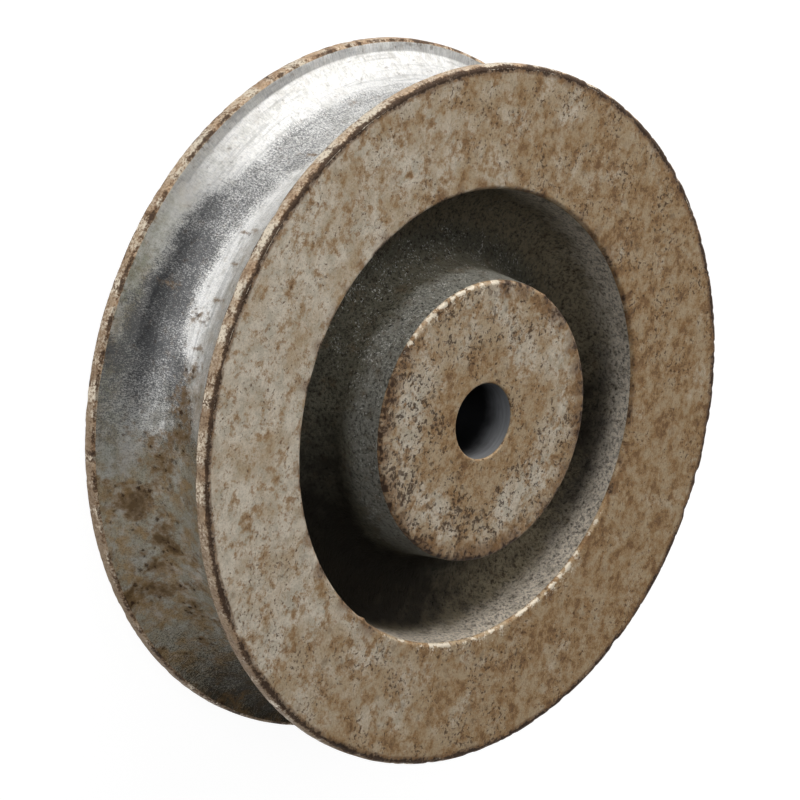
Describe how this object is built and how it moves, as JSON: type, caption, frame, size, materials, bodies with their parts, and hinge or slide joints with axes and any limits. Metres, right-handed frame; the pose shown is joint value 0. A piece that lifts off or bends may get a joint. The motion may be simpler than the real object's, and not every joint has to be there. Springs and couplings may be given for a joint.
{
  "type": "grooved wheel",
  "caption": "One-piece cast-iron rope wheel with a rounded groove between two flanges, a recessed web and a bored hub that turns on a plain pin.",
  "frame": {"origin": "on the wheel's axis, at the hub's back end face, which the wheel rests on", "axes": "+Z along the axle bore, out of the wheel's front face"},
  "size_m": [0.06, 0.06, 0.018],
  "materials": {
    "weathered_zinc": "weathered zinc plate with rust specks, groove worn bright"
  },
  "bodies": {
    "root": {"grooved_wheel": "weathered_zinc"}
  },
  "joints": []
}
